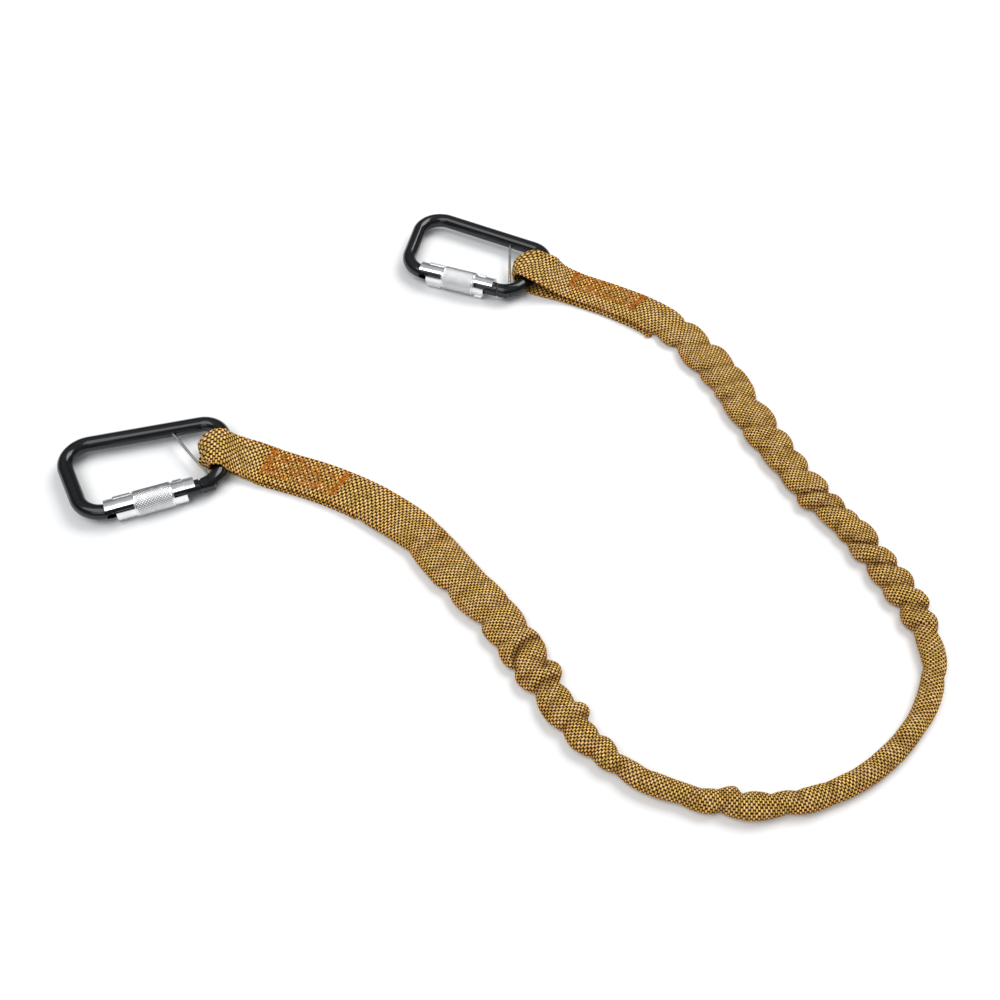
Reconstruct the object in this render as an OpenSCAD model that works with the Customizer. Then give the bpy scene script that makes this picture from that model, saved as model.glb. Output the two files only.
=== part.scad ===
/* [Connector body] */
// Diameter of the round bar of each connector
bar_d = 10; // [9.6:0.2:10]
// Distance between the two sharp corners on the gate side
gate_side = 85; // [84:0.5:86]
// Bend radius at the corner of the wide end and the back
wide_back_r = 16; // [14:1:17]
// Bend radius at the nose corner
nose_r = 18; // [17:0.5:18]
// Bend radius at the hinge corner
hinge_r = 15; // [14.5:0.5:15]
// Bend radius at the corner of the narrow end and the back
narrow_back_r = 14; // [13:1:14]

/* [Gate] */
// Diameter of the hinge rivet
rivet_d = 3.2; // [2.8:0.1:3.2]
// Radial running clearance of the rivet, the plunger and the guide collar
run_gap = 0.06; // [0.03:0.01:0.09]
// Diameter of the shaft under the grip
waist_d = 8; // [7.6:0.1:8]
// Diameter of the spring plunger that shuts the gate
plunger_d = 2; // [1.8:0.1:2]

/* [Locking sleeve] */
// Outside diameter of the smooth sleeve
sleeve_d = 15; // [14.6:0.2:15]
// Inside diameter of the sleeve
sleeve_bore = 11.2; // [11.2:0.1:11.4]
// Outside diameter of the knurled grip
grip_d = 16.6; // [16:0.1:16.6]
// Length of the knurled grip
grip_l = 24.5; // [22:0.5:25]
// Length of the step that is cut from one half of each sleeve end
step_l = 6; // [5:0.5:6]
// Width of the open slots in the sleeve ends
slot_w = 3.6; // [3:0.2:4]

/* [Captive pin] */
// Diameter of the captive pin that keeps the webbing in the narrow end
captive_d = 2.2; // [2:0.1:2.4]

/* [Webbing] */
// Width of the flat tubular webbing
web_w = 25; // [24:0.5:25]
// Thickness of the webbing where it lies flat
web_t = 2.6; // [2.2:0.1:2.6]
// Width of the webbing where it wraps the bar
eye_w = 24.5; // [23:0.5:24.5]
// Wall of the gathered webbing around the elastic
web_wall = 1.4; // [1.2:0.1:1.5]
// Clearance between the bar and the webbing eye
eye_gap = 0.6; // [0.5:0.1:0.7]
// Diameter of the elastic core
core_d = 5; // [4:0.5:5]

/* [Stitching] */
// Thickness of the sewing thread bars
thread_d = 0.9; // [0.7:0.1:1]

/* [Hidden] */
$fn = 48;
e = 0.02;

// Colours
black = "#15161a";
steel = "#c9ccd1";
gold = "#b98a35";
rust = "#c8641e";
pale = "#e6e1d2";

// Height of the middle plane of both connectors above the surface they lie on
mid_z = grip_d / 2;
bar_r = bar_d / 2;
// How far a straight run laps into a bend, and how much fuller it is there
lap = 0.5;
lap_step = 0.02;

// Each connector lies in its own plane: the gate side runs along X from the nose corner,
// and the open basket lies towards +Y.  Placement of the nose corner of each one:
// x, y and turn about Z.
place_a = [-244.6, -49.8, 20.3];
place_b = [-55, 185.6, -19.5];

// Sharp corners of the connector outline along the middle of the bar
nose_c = [0, 0];
hinge_c = [gate_side, 0];
narrow_c = [gate_side + 16, 50.5];
wide_c = [-8, 63];

// Gate stations along X
face_x = 13.2;
gate_x0 = 13.5;
gate_x1 = 73.2;
waist_x0 = 34;
waist_x1 = 58;
pivot = [79.5, -0.6];
fork_t = 4;
fork_gap = 0.2;
tongue_r = 4.4;
plunger_y = 2.5;
plunger_x0 = 66;
plunger_x1 = 82;
plunger_bore_x0 = 58.8;

// Sleeve stations along X
sleeve_x0 = 13.6;
sleeve_x1 = 70.3;
grip_x0 = 31.5;
collar_x0 = 36;
collar_l = 4;
key_spans = [[19.6, 30.6], [57.4, 63]];
key_w = 4;
spring_wire = 0.9;

// Turn about X of the slots, the keys and the middle of the longer sleeve half
slot_turn = 140;
key_turn = 50;

// Captive pin, from the back of the connector to the hinge end
captive_top = [64.3, 54];
captive_foot = [80.9, 4.4];

// Narrow end of the connector: direction along the bar and the point inside the eye
along = unit(narrow_c - hinge_c);
eye_at = hinge_c + 26.5 * along;

// Route of the webbing between the two eyes, in plan
mid_route = [
    [-131, -7], [-96, -20], [-62, -38], [-33, -61], [-9, -91], [16, -121], [36, -154], [56, -187],
    [81, -216], [116, -234], [155, -240], [193, -233], [227, -213], [253, -184], [266, -147],
    [260, -109], [243, -74], [224, -40], [204, -7], [188, 29], [173, 65], [155, 100], [131, 131],
    [100, 153], [66, 169]];
// Width and height of the webbing at each point of the route
section = [
    [eye_w, web_t], [web_w, web_t], [web_w, web_t], [25, 6.5], [24.5, 9], [24, 9.5], [23, 10],
    [20.5, 10], [17, 10.5], [11.5, 10.5], [10.5, 10], [11, 10.5], [10.5, 10], [10.5, 10],
    [10.5, 10], [11, 10], [15, 10], [16.5, 10.5], [18, 10.5], [21, 10], [23, 10], [25, 9.5],
    [24, 9], [25, 6.5], [web_w, web_t], [web_w, web_t], [eye_w, web_t]];
last = len(section) - 1;
tail_t = 2.55;
core_t = 2.75;

function unit(v) = v / norm(v);
function turned(p, a) = [p[0] * cos(a) - p[1] * sin(a), p[0] * sin(a) + p[1] * cos(a)];
function placed(p, at) = [at[0], at[1]] + turned(p, at[2]);
function mix(a, b, u) = a + (b - a) * u;
function ease(u) = u <= 0 ? 0 : u >= 1 ? 1 : u * u * (3 - 2 * u);

// Bar direction and outward direction of each eye, in plan
eye_a = placed(eye_at, place_a);
eye_b = placed(eye_at, place_b);
bar_a = turned(along, place_a[2]);
bar_b = turned(along, place_b[2]);
out_a = turned(bar_a, -90);
out_b = turned(bar_b, -90);

// Control points with one guide point before and after, so the run leaves each eye squarely
route_pts = concat(
    [mid_route[0] - 70 * out_a, eye_a], mid_route,
    [eye_b, mid_route[len(mid_route) - 1] - 54 * out_b]);

function curve(p, u) = 0.5 * (2 * p[1] + (p[2] - p[0]) * u
    + (2 * p[0] - 5 * p[1] + 4 * p[2] - p[3]) * u * u
    + (3 * p[1] - p[0] - 3 * p[2] + p[3]) * u * u * u);
function leg(t) = min(last - 1, max(0, floor(t)));
function route(t) = curve([for (k = [0:3]) route_pts[leg(t) + k]], t - leg(t));
function heading(t) = unit(route(min(last, t + 0.02)) - route(max(0, t - 0.02)));
function size_at(t) = mix(section[leg(t)], section[leg(t) + 1], t - leg(t));

// Distance from the nearer eye in route steps, and the level of the upper layer there
function end_t(t) = min(t, last - t);
over_z = mid_z + bar_r + eye_gap + web_t / 2;
under_z = mid_z - bar_r - eye_gap - web_t / 2;
flat_z = under_z + web_t + 0.2;
function rest_z(t) = end_t(t) < 2.4 ? flat_z
    : mix(flat_z, size_at(t)[1] / 2 + 0.1, ease((end_t(t) - 2.4) / 0.8));
function level(t) = mix(over_z, rest_z(t), ease((end_t(t) - 0.12) / 1.0));

// Width direction: along the bar in the eye, square to the run further on
function across(t) = let (h = heading(t), side = [-h[1], h[0]])
    t < last / 2 ? unit(mix(bar_a, side, ease(t / 1.2)))
    : unit(mix(-bar_b, side, ease((last - t) / 1.2)));

// A ring of the sweep: middle, travel direction, width direction and size
function ring(c, go, side, s, n) = let (
        w = [side[0], side[1], 0], up = unit(cross(go, w)), q = 0.55 + 0.45 * min(1, s[1] / 9))
    [for (k = [0:n - 1]) let (a = 360 * (k + 0.5) / n, x = cos(a), y = sin(a))
        c + w * s[0] / 2 * sign(x) * pow(abs(x), q) + up * s[1] / 2 * sign(y) * pow(abs(y), q)];
function run_at(t) = [route(t)[0], route(t)[1], level(t)];
function run_go(t) = unit(run_at(min(last, t + 0.03)) - run_at(max(0, t - 0.03)));
function run_ring(t, s, n) = ring(run_at(t), run_go(t), across(t), s, n);
function tail_ring(t, way, n) = let (h = heading(t) * way)
    ring([route(t)[0], route(t)[1], under_z], [h[0], h[1], 0], across(t),
        [size_at(end_t(t) > 1 ? 1 : t)[0], web_t], n);
// Ring in the turn round the bar, q degrees from the lower layer to the upper one
turn_r = (over_z - under_z) / 2;
turn_a = 3.4;
function turn_ring(q, at, out, side, way, n) = let (
        d = turn_a + turn_r * sin(q), z = mid_z - turn_r * cos(q), go = way * [-cos(q), sin(q)])
    ring([at[0] - d * out[0], at[1] - d * out[1], z], [go[0] * out[0], go[0] * out[1], go[1]],
        side, [eye_w, web_t], n);

function skin(rings) = let (n = len(rings[0]), m = len(rings))
    concat([[for (k = [0:n - 1]) k]],
        [for (j = [0:m - 2], k = [0:n - 1]) let (i = (k + 1) % n)
            [j * n + k, (j + 1) * n + k, j * n + i]],
        [for (j = [0:m - 2], k = [0:n - 1]) let (i = (k + 1) % n)
            [(j + 1) * n + k, (j + 1) * n + i, j * n + i]],
        [[for (k = [n - 1:-1:0]) (m - 1) * n + k]]);

module sweep(rings) {
    polyhedron(points = [for (r = rings, p = r) p], faces = skin(rings));
}

// One closed tube from the tail at the first eye to the tail at the second one
web_rings = concat(
    [for (t = [tail_t, 2.1, 1.65, 1.2, 0.8, 0.4]) tail_ring(t, -1, 12)],
    [for (q = [0:30:180]) turn_ring(q, eye_a, out_a, bar_a, 1, 12)],
    [for (t = [0, 0.2, 0.4, 0.6, 0.8, 1.05, 1.5, 2, 2.45]) run_ring(t, size_at(t), 12)],
    [for (t = [2.8:0.55:23.2]) run_ring(t, size_at(t), 12)],
    [for (t = [2.45, 2, 1.5, 1.05, 0.8, 0.6, 0.4, 0.2, 0])
        run_ring(last - t, size_at(last - t), 12)],
    [for (q = [180:-30:0]) turn_ring(q, eye_b, out_b, -bar_b, -1, 12)],
    [for (t = [0.4, 0.8, 1.2, 1.65, 2.1, tail_t]) tail_ring(last - t, -1, 12)]);

function hollow(t) = [size_at(t)[0] - 2 * web_wall, size_at(t)[1] - 2 * web_wall];
function core_size(t) = let (f = 1 - ease((end_t(t) - core_t) / 1.2))
    [mix(core_d, 12, f), mix(core_d, 1.6, f)];

module webbing() {
    color(gold)
    difference() {
        sweep(web_rings);
        sweep([for (t = [core_t:0.41:last - core_t]) run_ring(t, hollow(t), 12)]);
        // Small vent under each end of the hollow
        for (t = [core_t + 0.6, last - core_t - 0.6])
            translate([route(t)[0] - 1, route(t)[1] - 1, -2])
            cube([2, 2, level(t) + 2]);
    }
}

module elastic_core() {
    color(pale)
    sweep([for (t = [core_t:0.41:last - core_t]) run_ring(t, core_size(t), 8)]);
}

// A ladder of thread bars on the upper layer, from one route step to another
module stitching(t0, t1) {
    top = flat_z + web_t / 2;
    steps = 8;
    patch_w = 18;
    sunk = 0.2;
    d = norm(route(t1) - route(t0)) / steps;
    color(rust)
    for (i = [0:steps - 1]) {
        t = mix(t0, t1, (i + 0.5) / steps);
        h = heading(t);
        translate([route(t)[0], route(t)[1], top - sunk])
        rotate([0, 0, atan2(h[1], h[0])]) {
            translate([-thread_d / 2, -patch_w / 2, 0])
            cube([thread_d, patch_w, thread_d]);
            for (y = [-8.6, -3, 3, 8.6 - thread_d])
                translate([-d / 2 - 0.2, y, 0])
                cube([d + 0.4, thread_d, thread_d]);
        }
    }
}

// Straight bar between two points in the connector plane
module bar(p, q, r) {
    v = q - p;
    translate([p[0], p[1], 0])
    rotate([0, 0, atan2(v[1], v[0])])
    rotate([0, 90, 0])
    cylinder(r = r, h = norm(v));
}

// Tangent length of a bend at corner b between corners a and c
function half_angle(a, b, c) = acos(unit(a - b) * unit(c - b)) / 2;
function tangent(a, b, c, r) = r / tan(half_angle(a, b, c));

// Bend of the bar at corner b, from the side of a to the side of c
module bend(a, b, c, r) {
    mid = unit(unit(a - b) + unit(c - b));
    o = b + mid * r / sin(half_angle(a, b, c));
    p = b + unit(a - b) * tangent(a, b, c, r);
    sweep_a = 180 - 2 * half_angle(a, b, c);
    side = cross([p[0] - o[0], p[1] - o[1], 0], [b[0] - o[0], b[1] - o[1], 0])[2];
    start = atan2(p[1] - o[1], p[0] - o[0]) - (side < 0 ? sweep_a : 0);
    translate([o[0], o[1], 0])
    rotate([0, 0, start])
    rotate_extrude(angle = sweep_a, $fn = 96)
    translate([r, 0])
    circle(r = bar_r);
}

t_nose = tangent(wide_c, nose_c, hinge_c, nose_r);
t_hinge = tangent(nose_c, hinge_c, narrow_c, hinge_r);
t_narrow = tangent(hinge_c, narrow_c, wide_c, narrow_back_r);
t_wide = tangent(narrow_c, wide_c, nose_c, wide_back_r);

// Straight run of the bar between two bends, lapping a little way into each of them
module run(p, q) {
    v = unit(q - p);
    bar(p - lap * v, q + lap * v, bar_r + lap_step);
}

module connector_bar() {
    bend(wide_c, nose_c, hinge_c, nose_r);
    run(hinge_c - [t_hinge + 3, 0], hinge_c - [t_hinge, 0]);
    bend(nose_c, hinge_c, narrow_c, hinge_r);
    run(hinge_c + t_hinge * along, narrow_c - t_narrow * along);
    bend(hinge_c, narrow_c, wide_c, narrow_back_r);
    run(narrow_c + t_narrow * unit(wide_c - narrow_c), wide_c - t_wide * unit(wide_c - narrow_c));
    bend(narrow_c, wide_c, nose_c, wide_back_r);
    run(wide_c + t_wide * unit(nose_c - wide_c), nose_c - t_nose * unit(nose_c - wide_c));
}

module captive_rod(r) {
    bar(captive_top, captive_foot, r);
}

module body() {
    color(black) {
        difference() {
            connector_bar();
            // Flat nose face
            translate([face_x, -8, -8])
            cube([20, 16, 16]);
            // Round fork ends that let the gate swing
            difference() {
                translate([60, -9, -9])
                cube([pivot[0] - 60, 18, 18]);
                translate([pivot[0], pivot[1], -10])
                cylinder(r = 5.6, h = 20);
            }
            // Slot between the fork cheeks
            translate([pivot[0], pivot[1], -fork_t / 2 - fork_gap])
            cylinder(r = tongue_r + 0.3, h = fork_t + 2 * fork_gap);
            translate([60, -9, -fork_t / 2 - fork_gap])
            cube([pivot[0] - 60, 18, fork_t + 2 * fork_gap]);
            // Rivet hole
            translate([pivot[0], pivot[1], -10])
            cylinder(d = rivet_d, h = 20);
            captive_rod(captive_d / 2);
        }
        // Key shaped nose that the gate closes on
        translate([face_x - 1.5, -2.6, -1.1])
        cube([4, 5.2, 2.2]);
        translate([17.2, -2.6, 0])
        rotate([-90, 0, 0])
        cylinder(r = 2, h = 5.2);
    }
}

module hinge_rivet() {
    color(black)
    translate([pivot[0], pivot[1], -4.6])
    cylinder(d = rivet_d, h = 9.2);
}

module captive_pin() {
    color(steel)
    captive_rod(captive_d / 2);
}

module gate() {
    color(black)
    difference() {
        union() {
            bar([gate_x0, 0], [waist_x0, 0], bar_r);
            bar([waist_x0 - e, 0], [waist_x1 + e, 0], waist_d / 2);
            bar([waist_x1, 0], [gate_x1, 0], bar_r);
            // Hinge tongue
            intersection() {
                translate([gate_x1 - 1, -4.3, -fork_t / 2])
                cube([20, 8, fork_t]);
                union() {
                    translate([pivot[0], pivot[1], -5])
                    cylinder(r = tongue_r, h = 10);
                    translate([gate_x1 - 1, -9, -5])
                    cube([pivot[0] - gate_x1 + 1, 18, 10]);
                }
            }
        }
        translate([pivot[0], pivot[1], -10])
        cylinder(d = rivet_d + 2 * run_gap, h = 20);
        bar([plunger_bore_x0, plunger_y], [90, plunger_y], plunger_d / 2 + run_gap);
        // Slot and round pocket that take the nose
        translate([gate_x0 - 1, -9, -1.5])
        cube([4.5, 18, 3]);
        translate([17.4, -9, 0])
        rotate([-90, 0, 0])
        cylinder(r = 2.6, h = 18);
    }
}

module plunger() {
    color(steel)
    bar([plunger_x0, plunger_y], [plunger_x1, plunger_y], plunger_d / 2);
}

// Coil spring along X
module coil(x0, x1, turns, r, wire, y) {
    n = 12;
    steps = turns * n;
    sweep([for (i = [0:steps]) let (
            a = 360 * i / n, x = mix(x0 + wire / 2, x1 - wire / 2, i / steps),
            radial = [0, cos(a), sin(a)])
        [for (k = [0:5]) let (b = 60 * k)
            [x, y, 0] + radial * (r + wire / 2 * cos(b)) + [wire / 2 * sin(b), 0, 0]]]);
}

module plunger_spring() {
    color(steel)
    coil(plunger_bore_x0 + 0.1, plunger_x0 - 0.1, 6, 0.68, 0.4, plunger_y);
}

module sleeve_spring() {
    color(steel)
    coil(collar_x0 + collar_l + 0.1, waist_x1 - 0.1, 7, 4.75, spring_wire, 0);
}

module guide_collar() {
    color(steel)
    difference() {
        bar([collar_x0, 0], [collar_x0 + collar_l, 0], sleeve_bore / 2 - run_gap);
        bar([collar_x0 - 1, 0], [collar_x0 + collar_l + 1, 0], waist_d / 2 + run_gap);
    }
}

// Box that crosses the sleeve wall on both sides, turned about X from +Y
module wall_box(x0, x1, w, r0, r1, turn) {
    for (s = [0, 180])
        rotate([turn + s, 0, 0])
        translate([x0, r0, -w / 2])
        cube([x1 - x0, r1 - r0, w]);
}

module sleeve() {
    color(steel)
    difference() {
        bar([sleeve_x0, 0], [sleeve_x1, 0], sleeve_d / 2);
        bar([sleeve_x0 - 1, 0], [sleeve_x1 + 1, 0], sleeve_bore / 2);
        // Shorter half at each end
        rotate([key_turn + 180, 0, 0]) {
            translate([sleeve_x0 - 1, 0, -10])
            cube([step_l + 1, 12, 20]);
            translate([sleeve_x1 - step_l, 0, -10])
            cube([step_l + 1, 12, 20]);
        }
        wall_box(sleeve_x0 - 1, grip_x0 - 0.3, slot_w, 3, 9, slot_turn);
        wall_box(grip_x0 + grip_l + 0.3, sleeve_x1 + 1, slot_w, 3, 9, slot_turn);
        for (x = key_spans)
            wall_box(x[0], x[1], key_w, 5, 9, key_turn);
    }
}

module grip() {
    color(steel)
    rotate([0, 90, 0])
    translate([0, 0, grip_x0])
    rotate_extrude($fn = 96)
    polygon([
        [sleeve_d / 2, 0], [grip_d / 2 - 0.5, 0], [grip_d / 2, 0.5],
        [grip_d / 2, grip_l - 0.5], [grip_d / 2 - 0.5, grip_l], [sleeve_d / 2, grip_l]]);
}

module guide_keys() {
    color(steel)
    for (x = key_spans)
        wall_box(x[0], x[1], key_w, 5.8, 8.4, key_turn);
}

module at(place) {
    translate([place[0], place[1], mid_z])
    rotate([0, 0, place[2]])
    children();
}

webbing();
elastic_core();
stitching(1.1, 2.4);  // stitching_a
stitching(last - 2.4, last - 1.1);  // stitching_b
at(place_a) body();  // body_a
at(place_a) hinge_rivet();  // hinge_rivet_a
at(place_a) captive_pin();  // captive_pin_a
at(place_a) gate();  // gate_a
at(place_a) plunger();  // plunger_a
at(place_a) plunger_spring();  // plunger_spring_a
at(place_a) guide_collar();  // guide_collar_a
at(place_a) sleeve_spring();  // sleeve_spring_a
at(place_a) sleeve();  // sleeve_a
at(place_a) grip();  // grip_a
at(place_a) guide_keys();  // guide_keys_a
at(place_b) body();  // body_b
at(place_b) hinge_rivet();  // hinge_rivet_b
at(place_b) captive_pin();  // captive_pin_b
at(place_b) gate();  // gate_b
at(place_b) plunger();  // plunger_b
at(place_b) plunger_spring();  // plunger_spring_b
at(place_b) guide_collar();  // guide_collar_b
at(place_b) sleeve_spring();  // sleeve_spring_b
at(place_b) sleeve();  // sleeve_b
at(place_b) grip();  // grip_b
at(place_b) guide_keys();  // guide_keys_b
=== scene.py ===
"""Looks for the elastic webbing tool lanyard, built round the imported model.

Lengths are in millimetres up to the point where a mesh is made, and metres from there on.
"""
import math

import bpy
import numpy as np
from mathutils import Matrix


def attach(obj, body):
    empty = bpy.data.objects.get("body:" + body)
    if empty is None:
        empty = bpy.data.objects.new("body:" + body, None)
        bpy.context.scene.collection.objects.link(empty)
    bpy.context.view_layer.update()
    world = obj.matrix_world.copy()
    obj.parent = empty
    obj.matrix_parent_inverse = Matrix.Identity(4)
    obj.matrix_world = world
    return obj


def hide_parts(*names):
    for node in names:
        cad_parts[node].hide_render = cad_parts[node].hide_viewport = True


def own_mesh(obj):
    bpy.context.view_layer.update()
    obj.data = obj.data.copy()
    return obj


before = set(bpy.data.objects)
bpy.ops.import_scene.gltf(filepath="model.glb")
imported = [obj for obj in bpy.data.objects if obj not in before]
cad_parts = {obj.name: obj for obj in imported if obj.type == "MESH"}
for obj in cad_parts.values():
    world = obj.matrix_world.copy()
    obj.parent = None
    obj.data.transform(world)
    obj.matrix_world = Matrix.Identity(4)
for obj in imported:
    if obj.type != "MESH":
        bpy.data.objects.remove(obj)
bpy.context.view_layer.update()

MM = 0.001
SIDES = ("a", "b")

# ---------------------------------------------------------------- layout, as in the CAD

BAR_R = 5.0
MID_Z = 8.3
EYE_GAP = 0.6
WEB_T = 2.6
# Nose corner of each connector and its turn about Z
PLACE = {"a": (-244.6, -49.8, 20.3), "b": (-55.0, 185.6, -19.5)}
# Ends of a bar's narrow side in its connector's own frame, and the eye's place along it
HINGE = np.array([85.0, 0.0])
NARROW = np.array([101.0, 50.5])
EYE_ALONG = 26.5

# The middle of the strap in plan, from eye A to eye B
MIDDLE = [
    (-131, -7), (-96, -20), (-62, -38), (-33, -61), (-9, -91), (16, -121), (36, -154), (56, -187),
    (81, -216), (116, -234), (155, -240), (193, -233), (227, -213), (253, -184), (266, -147),
    (260, -109), (243, -74), (224, -40), (204, -7), (188, 29), (173, 65), (155, 100), (131, 131),
    (100, 153), (66, 169)]
# Height of the strap at eye A, at each point of MIDDLE and at eye B
HEIGHTS = [
    2.6, 2.6, 2.6, 6.5, 9, 9.5, 10, 10, 10.5, 10.5, 10, 10.5, 10, 10, 10, 10, 10, 10.5, 10.5, 10,
    10, 9.5, 9, 6.5, 2.6, 2.6, 2.6]
LAST = len(HEIGHTS) - 1
# Distance of the outermost guide points from the first and the last point of MIDDLE
GUIDE = {"a": 70, "b": 54}
FINE_STEPS = 90
# Legs of the route from an eye to where the core fills the strap, and legs it takes to do so
CORE_FROM, CORE_FADE = 2.65, 0.75
# Legs over which the width turns from the bar's line to square across the run
SQUARE_LEGS = 1.2
TAIL_L = 106.0
# The webbing's middle over the bar, under the bar, and where it lies on its own tail
OVER_Z = MID_Z + BAR_R + EYE_GAP + WEB_T / 2
UNDER_Z = MID_Z - BAR_R - EYE_GAP - WEB_T / 2
FLAT_Z = UNDER_Z + WEB_T + 0.2
TURN_R = (OVER_Z - UNDER_Z) / 2
# How far the turn round the bar is drawn out beyond a half circle
TURN_A = 3.4


def unit(v):
    return v / np.linalg.norm(v, axis=-1, keepdims=True)


def turned(v, degrees):
    c, s = math.cos(math.radians(degrees)), math.sin(math.radians(degrees))
    return np.array([v[0] * c - v[1] * s, v[0] * s + v[1] * c])


def ease(u):
    u = np.clip(u, 0.0, 1.0)
    return u * u * (3 - 2 * u)


def mix(a, b, u):
    return a + (b - a) * u


def placed(side, x, y=0.0, z=0.0):
    """A point of a connector's own frame, in the row frame, both in mm."""
    at = PLACE[side]
    p = turned((x, y), at[2])
    return np.array([at[0] + p[0], at[1] + p[1], MID_Z + z])


def placed_grid(side, local):
    """A whole array of points of a connector's own frame, in the row frame, both in mm."""
    at = PLACE[side]
    c, s = math.cos(math.radians(at[2])), math.sin(math.radians(at[2]))
    return np.stack([at[0] + local[..., 0] * c - local[..., 1] * s,
                     at[1] + local[..., 0] * s + local[..., 1] * c, MID_Z + local[..., 2]], -1)


BAR_DIR = unit(NARROW - HINGE)
EYE = {s: placed(s, *(HINGE + EYE_ALONG * BAR_DIR))[:2] for s in SIDES}
BAR = {s: turned(BAR_DIR, PLACE[s][2]) for s in SIDES}
OUT = {s: turned(BAR[s], -90) for s in SIDES}

# ---------------------------------------------------------------- camera, light and floor


def add_camera():
    data = bpy.data.cameras.new("camera")
    data.lens = 44.16
    data.sensor_width = 36
    data.clip_start = 0.01
    data.clip_end = 60
    camera = bpy.data.objects.new("camera", data)
    camera.location = (0.016, -0.51843, 0.61817)
    camera.rotation_euler = (math.radians(38.37), 0, 0)
    bpy.context.collection.objects.link(camera)
    bpy.context.scene.camera = camera


def add_softbox(name, at, aim, size, power, colour):
    data = bpy.data.lights.new(name, "AREA")
    data.shape = "RECTANGLE"
    data.size, data.size_y = size
    data.energy = power
    data.color = colour
    light = bpy.data.objects.new(name, data)
    light.location = at
    way = np.array(aim) - np.array(at)
    light.rotation_euler = (
        math.acos(-way[2] / np.linalg.norm(way)), 0, math.atan2(way[1], way[0]) - math.pi / 2)
    bpy.context.collection.objects.link(light)


def add_world():
    """Pale surroundings with a dimmer band at mid height, for the metal to mirror."""
    world = bpy.data.worlds.new("studio")
    world.use_nodes = True
    tree = world.node_tree
    way = tree.nodes.new("ShaderNodeTexCoord")
    split = tree.nodes.new("ShaderNodeSeparateXYZ")
    ramp = tree.nodes.new("ShaderNodeValToRGB")
    stops = ((0.16, 0.36), (0.36, 0.1), (0.8, 0.47))
    ramp.color_ramp.elements.new(0.5)
    for mark, (at, colour) in zip(ramp.color_ramp.elements, stops):
        mark.position = at
        mark.color = (0.97 * colour, colour, 1.03 * colour, 1)
    tree.links.new(way.outputs["Generated"], split.inputs[0])
    tree.links.new(split.outputs["Z"], ramp.inputs[0])
    tree.links.new(ramp.outputs[0], tree.nodes["Background"].inputs["Color"])
    bpy.context.scene.world = world


def add_studio():
    add_camera()
    add_world()
    middle = (0, 0, 0)
    add_softbox("key", (1.6, 1.5, 2.6), middle, (2.3, 1.8), 74, (1, 0.985, 0.96))
    add_softbox("top", (-1.1, -0.9, 2.9), middle, (3.0, 2.0), 52, (0.97, 0.985, 1))
    add_softbox("front", (-1.0, -2.4, 1.7), middle, (1.7, 0.7), 6, (0.93, 0.97, 1))
    scene = bpy.context.scene
    scene.view_settings.view_transform = "Standard"
    scene.view_settings.look = "None"


# ---------------------------------------------------------------- route of the strap


def catmull(t):
    """Places of the route at steps t, in plan."""
    middle = np.array(MIDDLE, float)
    guide_a = middle[0] - GUIDE["a"] * OUT["a"]
    guide_b = middle[-1] - GUIDE["b"] * OUT["b"]
    points = np.vstack([guide_a, EYE["a"], middle, EYE["b"], guide_b])
    leg = np.clip(np.floor(t).astype(int), 0, LAST - 1)
    u = (t - leg)[:, None]
    p0, p1, p2, p3 = (points[leg + k] for k in range(4))
    return 0.5 * (2 * p1 + (p2 - p0) * u + (2 * p0 - 5 * p1 + 4 * p2 - p3) * u ** 2
                  + (3 * p1 - p0 - 3 * p2 + p3) * u ** 3)


FINE_T = np.linspace(0, LAST, LAST * FINE_STEPS + 1)
FINE_XY = catmull(FINE_T)
FINE_S = np.concatenate([[0], np.cumsum(np.linalg.norm(np.diff(FINE_XY, axis=0), axis=1))])
FINE_GO = unit(np.gradient(FINE_XY, FINE_S, axis=0))
RUN_L = FINE_S[-1]


def columns(at, knots, table):
    """Every column of a table, interpolated at the same places."""
    return np.stack([np.interp(at, knots, table[:, k]) for k in range(table.shape[1])], -1)


def plan_at(s):
    return columns(s, FINE_S, FINE_XY)


def step_at(s):
    return np.interp(s, FINE_S, FINE_T)


def height_at(s):
    return np.interp(step_at(s), np.arange(LAST + 1), HEIGHTS)


# How the upper layer comes down from the bar: distance from the bar and share of the drop.
# The strap hugs the bar at A and leaves an open loop at B.
DROP = {
    "a": [(0, 0), (2, 0.05), (4, 0.22), (6, 0.5), (8, 0.68), (12, 0.83), (18, 0.93), (28, 0.99),
          (40, 1)],
    "b": [(0, 0), (6, 0.02), (10, 0.14), (15, 0.42), (20, 0.65), (26, 0.84), (34, 0.95), (44, 1)]}


def level_at(s):
    """Height of the middle of the upper layer above the surface it lies on."""
    t = step_at(s)
    end = np.minimum(t, LAST - t)
    rest = mix(FLAT_Z, height_at(s) / 2 + 0.1, ease((end - CORE_FROM) / CORE_FADE))
    drop_a, drop_b = (np.array(DROP[k], float).T for k in SIDES)
    share = np.where(s < RUN_L / 2, np.interp(s, *drop_a), np.interp(RUN_L - s, *drop_b))
    return mix(OVER_Z, rest, share)


def across_at(s):
    """Width direction, to the left of the run."""
    t = step_at(s)[:, None]
    go = columns(s, FINE_S, FINE_GO)
    square = np.stack([-go[:, 1], go[:, 0]], -1)
    near_a = mix(BAR["a"], square, ease(t / SQUARE_LEGS))
    near_b = mix(-BAR["b"], square, ease((LAST - t) / SQUARE_LEGS))
    return unit(np.where(t < LAST / 2, near_a, near_b))


# ---------------------------------------------------------------- shape of the gathered strap

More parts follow.
